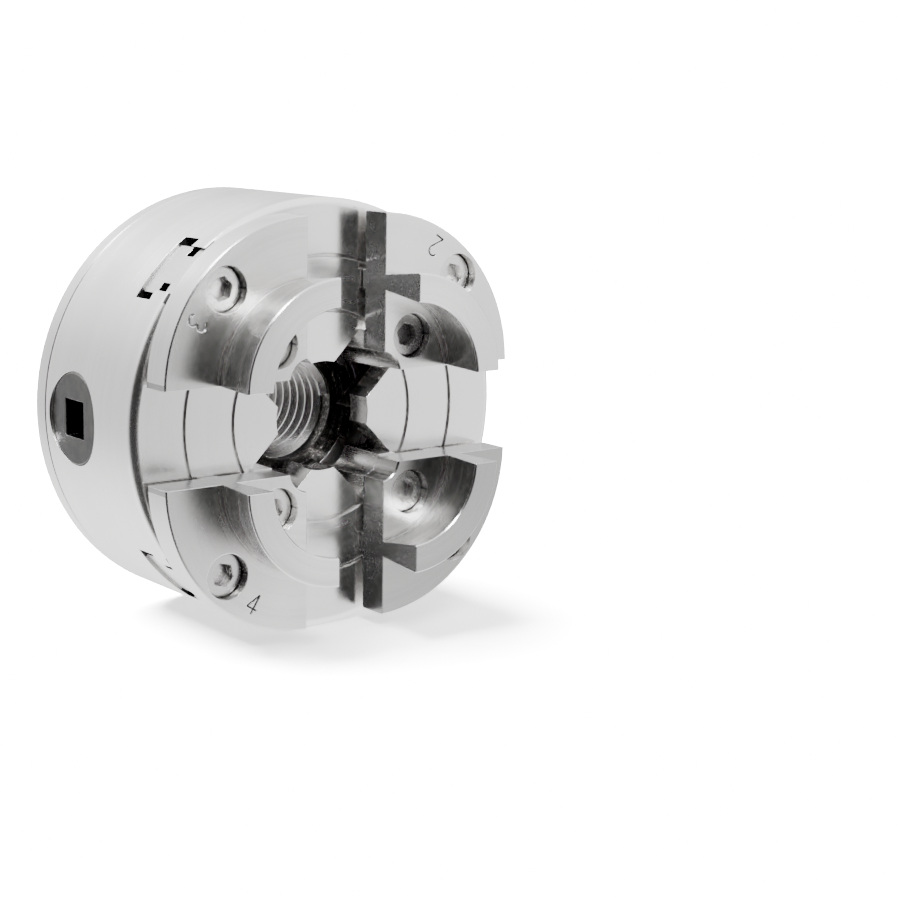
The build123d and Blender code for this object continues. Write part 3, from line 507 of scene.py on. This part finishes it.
def dress_frame():
    """Gives each CAD node its finish."""
    slide = slide_material()
    screw = steel("bright_screw", GRINDING, **SCREW_STEEL)[0]
    paint(body_material(), "body")
    paint(steel("turned_cover", TURNING, **TURNED_STEEL)[0], "rear_cover")
    paint(steel("machined_scroll", TURNING, **SCROLL_STEEL)[0], "scroll")
    paint(steel("spring_steel", GRINDING, **SPRING_STEEL)[0],
          "scroll_circlip", "pinion_retainer_left", "pinion_retainer_right")
    paint(black_oxide("black_pinion", level=0.085, roughness=0.42, dark_socket=True),
          "pinion_left", "pinion_right")
    paint(black_oxide("black_screw", level=0.07, roughness=0.38), "cover_screws")
    for number, (right, up, painted_front_light, ink) in enumerate(JAW_LOOKS, start=1):
        centre = (right * JAW_OPENING, 0, up * JAW_OPENING)
        paint(jaw_material(number, centre, painted_front_light, ink), f"top_jaw_{number}")
        paint(slide, f"jaw_slide_{number}")
        paint(screw, f"inner_screw_{number}", f"outer_screw_{number}")


# ---------------------------------------------------------------- the spindle thread
def add_thread():
    """The ridge of the spindle thread, wound forward along the bore."""
    form = bmesh.new()
    half_root = THREAD_CREST / 2 + (THREAD_MAJOR - THREAD_MINOR) * tan(THREAD_FLANK)
    root = THREAD_MAJOR + THREAD_BITE
    outline = [(root, half_root), (THREAD_MINOR, THREAD_CREST / 2),
               (THREAD_MINOR, -THREAD_CREST / 2), (root, -half_root)]
    corners = [form.verts.new((r, -THREAD_BACK - half_root + w, 0)) for r, w in outline]
    section = form.faces.new(corners)
    turns = (THREAD_FRONT - THREAD_BACK - 2 * half_root) / THREAD_PITCH
    steps = round(turns * THREAD_STEPS)
    bmesh.ops.spin(
        form, geom=[section], cent=(0, 0, 0), axis=(0, 1, 0), dvec=(0, -turns * THREAD_PITCH / steps, 0),
        angle=turns * 2 * pi, steps=steps, use_merge=False, use_duplicate=False)
    bmesh.ops.recalc_face_normals(form, faces=form.faces)
    thread = finish_piece("spindle_thread", form, steel("cut_thread", TURNING, **THREAD_STEEL)[0])
    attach(thread, "chuck_body")


# ---------------------------------------------------------------- table, room and lights
def table_material():
    material = bpy.data.materials.new("white_table")
    material.use_nodes = True
    tree = material.node_tree
    shader = tree.nodes["Principled BSDF"]
    place = add(tree, "TexCoord").outputs["Object"]
    cloud = noise(tree, place, scale=9.0, detail=3.0, rough=0.5)
    low_tone, high_tone = TABLE_TONES
    tree.links.new(mix_colour(tree, cloud, grey(low_tone), grey(high_tone)), shader.inputs["Base Color"])
    shader.inputs["Roughness"].default_value = TABLE_ROUGHNESS
    shader.inputs["Emission Color"].default_value = grey(1.0)
    shader.inputs["Emission Strength"].default_value = TABLE_GLOW
    return material


def add_table():
    """A white table that doesn't show in the steel."""
    form = bmesh.new()
    bmesh.ops.create_circle(form, cap_ends=True, segments=TABLE_SIDES, radius=TABLE_RADIUS)
    bmesh.ops.translate(form, verts=form.verts, vec=(0, 0, TABLE))
    table = finish_piece("table", form, table_material())
    table.visible_glossy = False


def add_room():
    """A white room that is dark only on one side, behind the camera, with a bright panel beside that."""
    world = bpy.data.worlds.new("room")
    world.use_nodes = True
    tree = world.node_tree
    tree.nodes.clear()
    direction = add(tree, "TexCoord").outputs["Generated"]
    toward = vector_maths(tree, "DOT_PRODUCT", direction, SHADE_DIRECTION.normalized())
    height = maths(tree, "ABSOLUTE", part_along(tree, direction, "Z"))
    lit = maths(tree, "MULTIPLY", remap(tree, toward, *SHADE_BORDER, SKY, SHADE),
                remap(tree, height, *CEILING_BORDER, HORIZON, CEILING))
    panel = vector_maths(tree, "DOT_PRODUCT", direction, PANEL_DIRECTION)
    lit = maths(tree, "ADD", lit, remap(tree, panel, *PANEL_BORDER, 0.0, PANEL))
    seen = add(tree, "LightPath").outputs["Is Camera Ray"]
    unseen = maths(tree, "SUBTRACT", 1.0, seen)
    lit = maths(tree, "MULTIPLY", lit, unseen)
    strength = maths(tree, "ADD", maths(tree, "MULTIPLY", seen, BACKDROP), lit)
    background = add(tree, "Background", Color=grey(1.0), Strength=strength)
    output = tree.nodes.new("ShaderNodeOutputWorld")
    tree.links.new(background.outputs[0], output.inputs[0])
    bpy.context.scene.world = world


def add_softbox(name, place, side, power):
    """A square light at a place, facing the origin."""
    data = bpy.data.lights.new(name, "AREA")
    data.shape = "SQUARE"
    data.size = side
    data.energy = power
    light = put_in_scene(name, data)
    turn = (-Vector(place)).to_track_quat("-Z", "Y")
    light.matrix_world = Matrix.Translation(place) @ turn.to_matrix().to_4x4()


def add_table_light():
    """A soft sun from behind on the left, kept out of the steel's reflections.

    It lights the table, where the chuck's soft shadow falls in front.
    """
    data = bpy.data.lights.new("table_light", "SUN")
    data.energy = SUN_STRENGTH
    data.angle = SUN_SPREAD
    light = put_in_scene("table_light", data)
    light.visible_glossy = False
    light.matrix_world = SUN_DIRECTION.to_track_quat("Z", "Y").to_matrix().to_4x4()


dress_frame()
add_thread()
add_table()
add_room()
for softbox in SOFTBOXES:
    add_softbox(*softbox)
add_table_light()
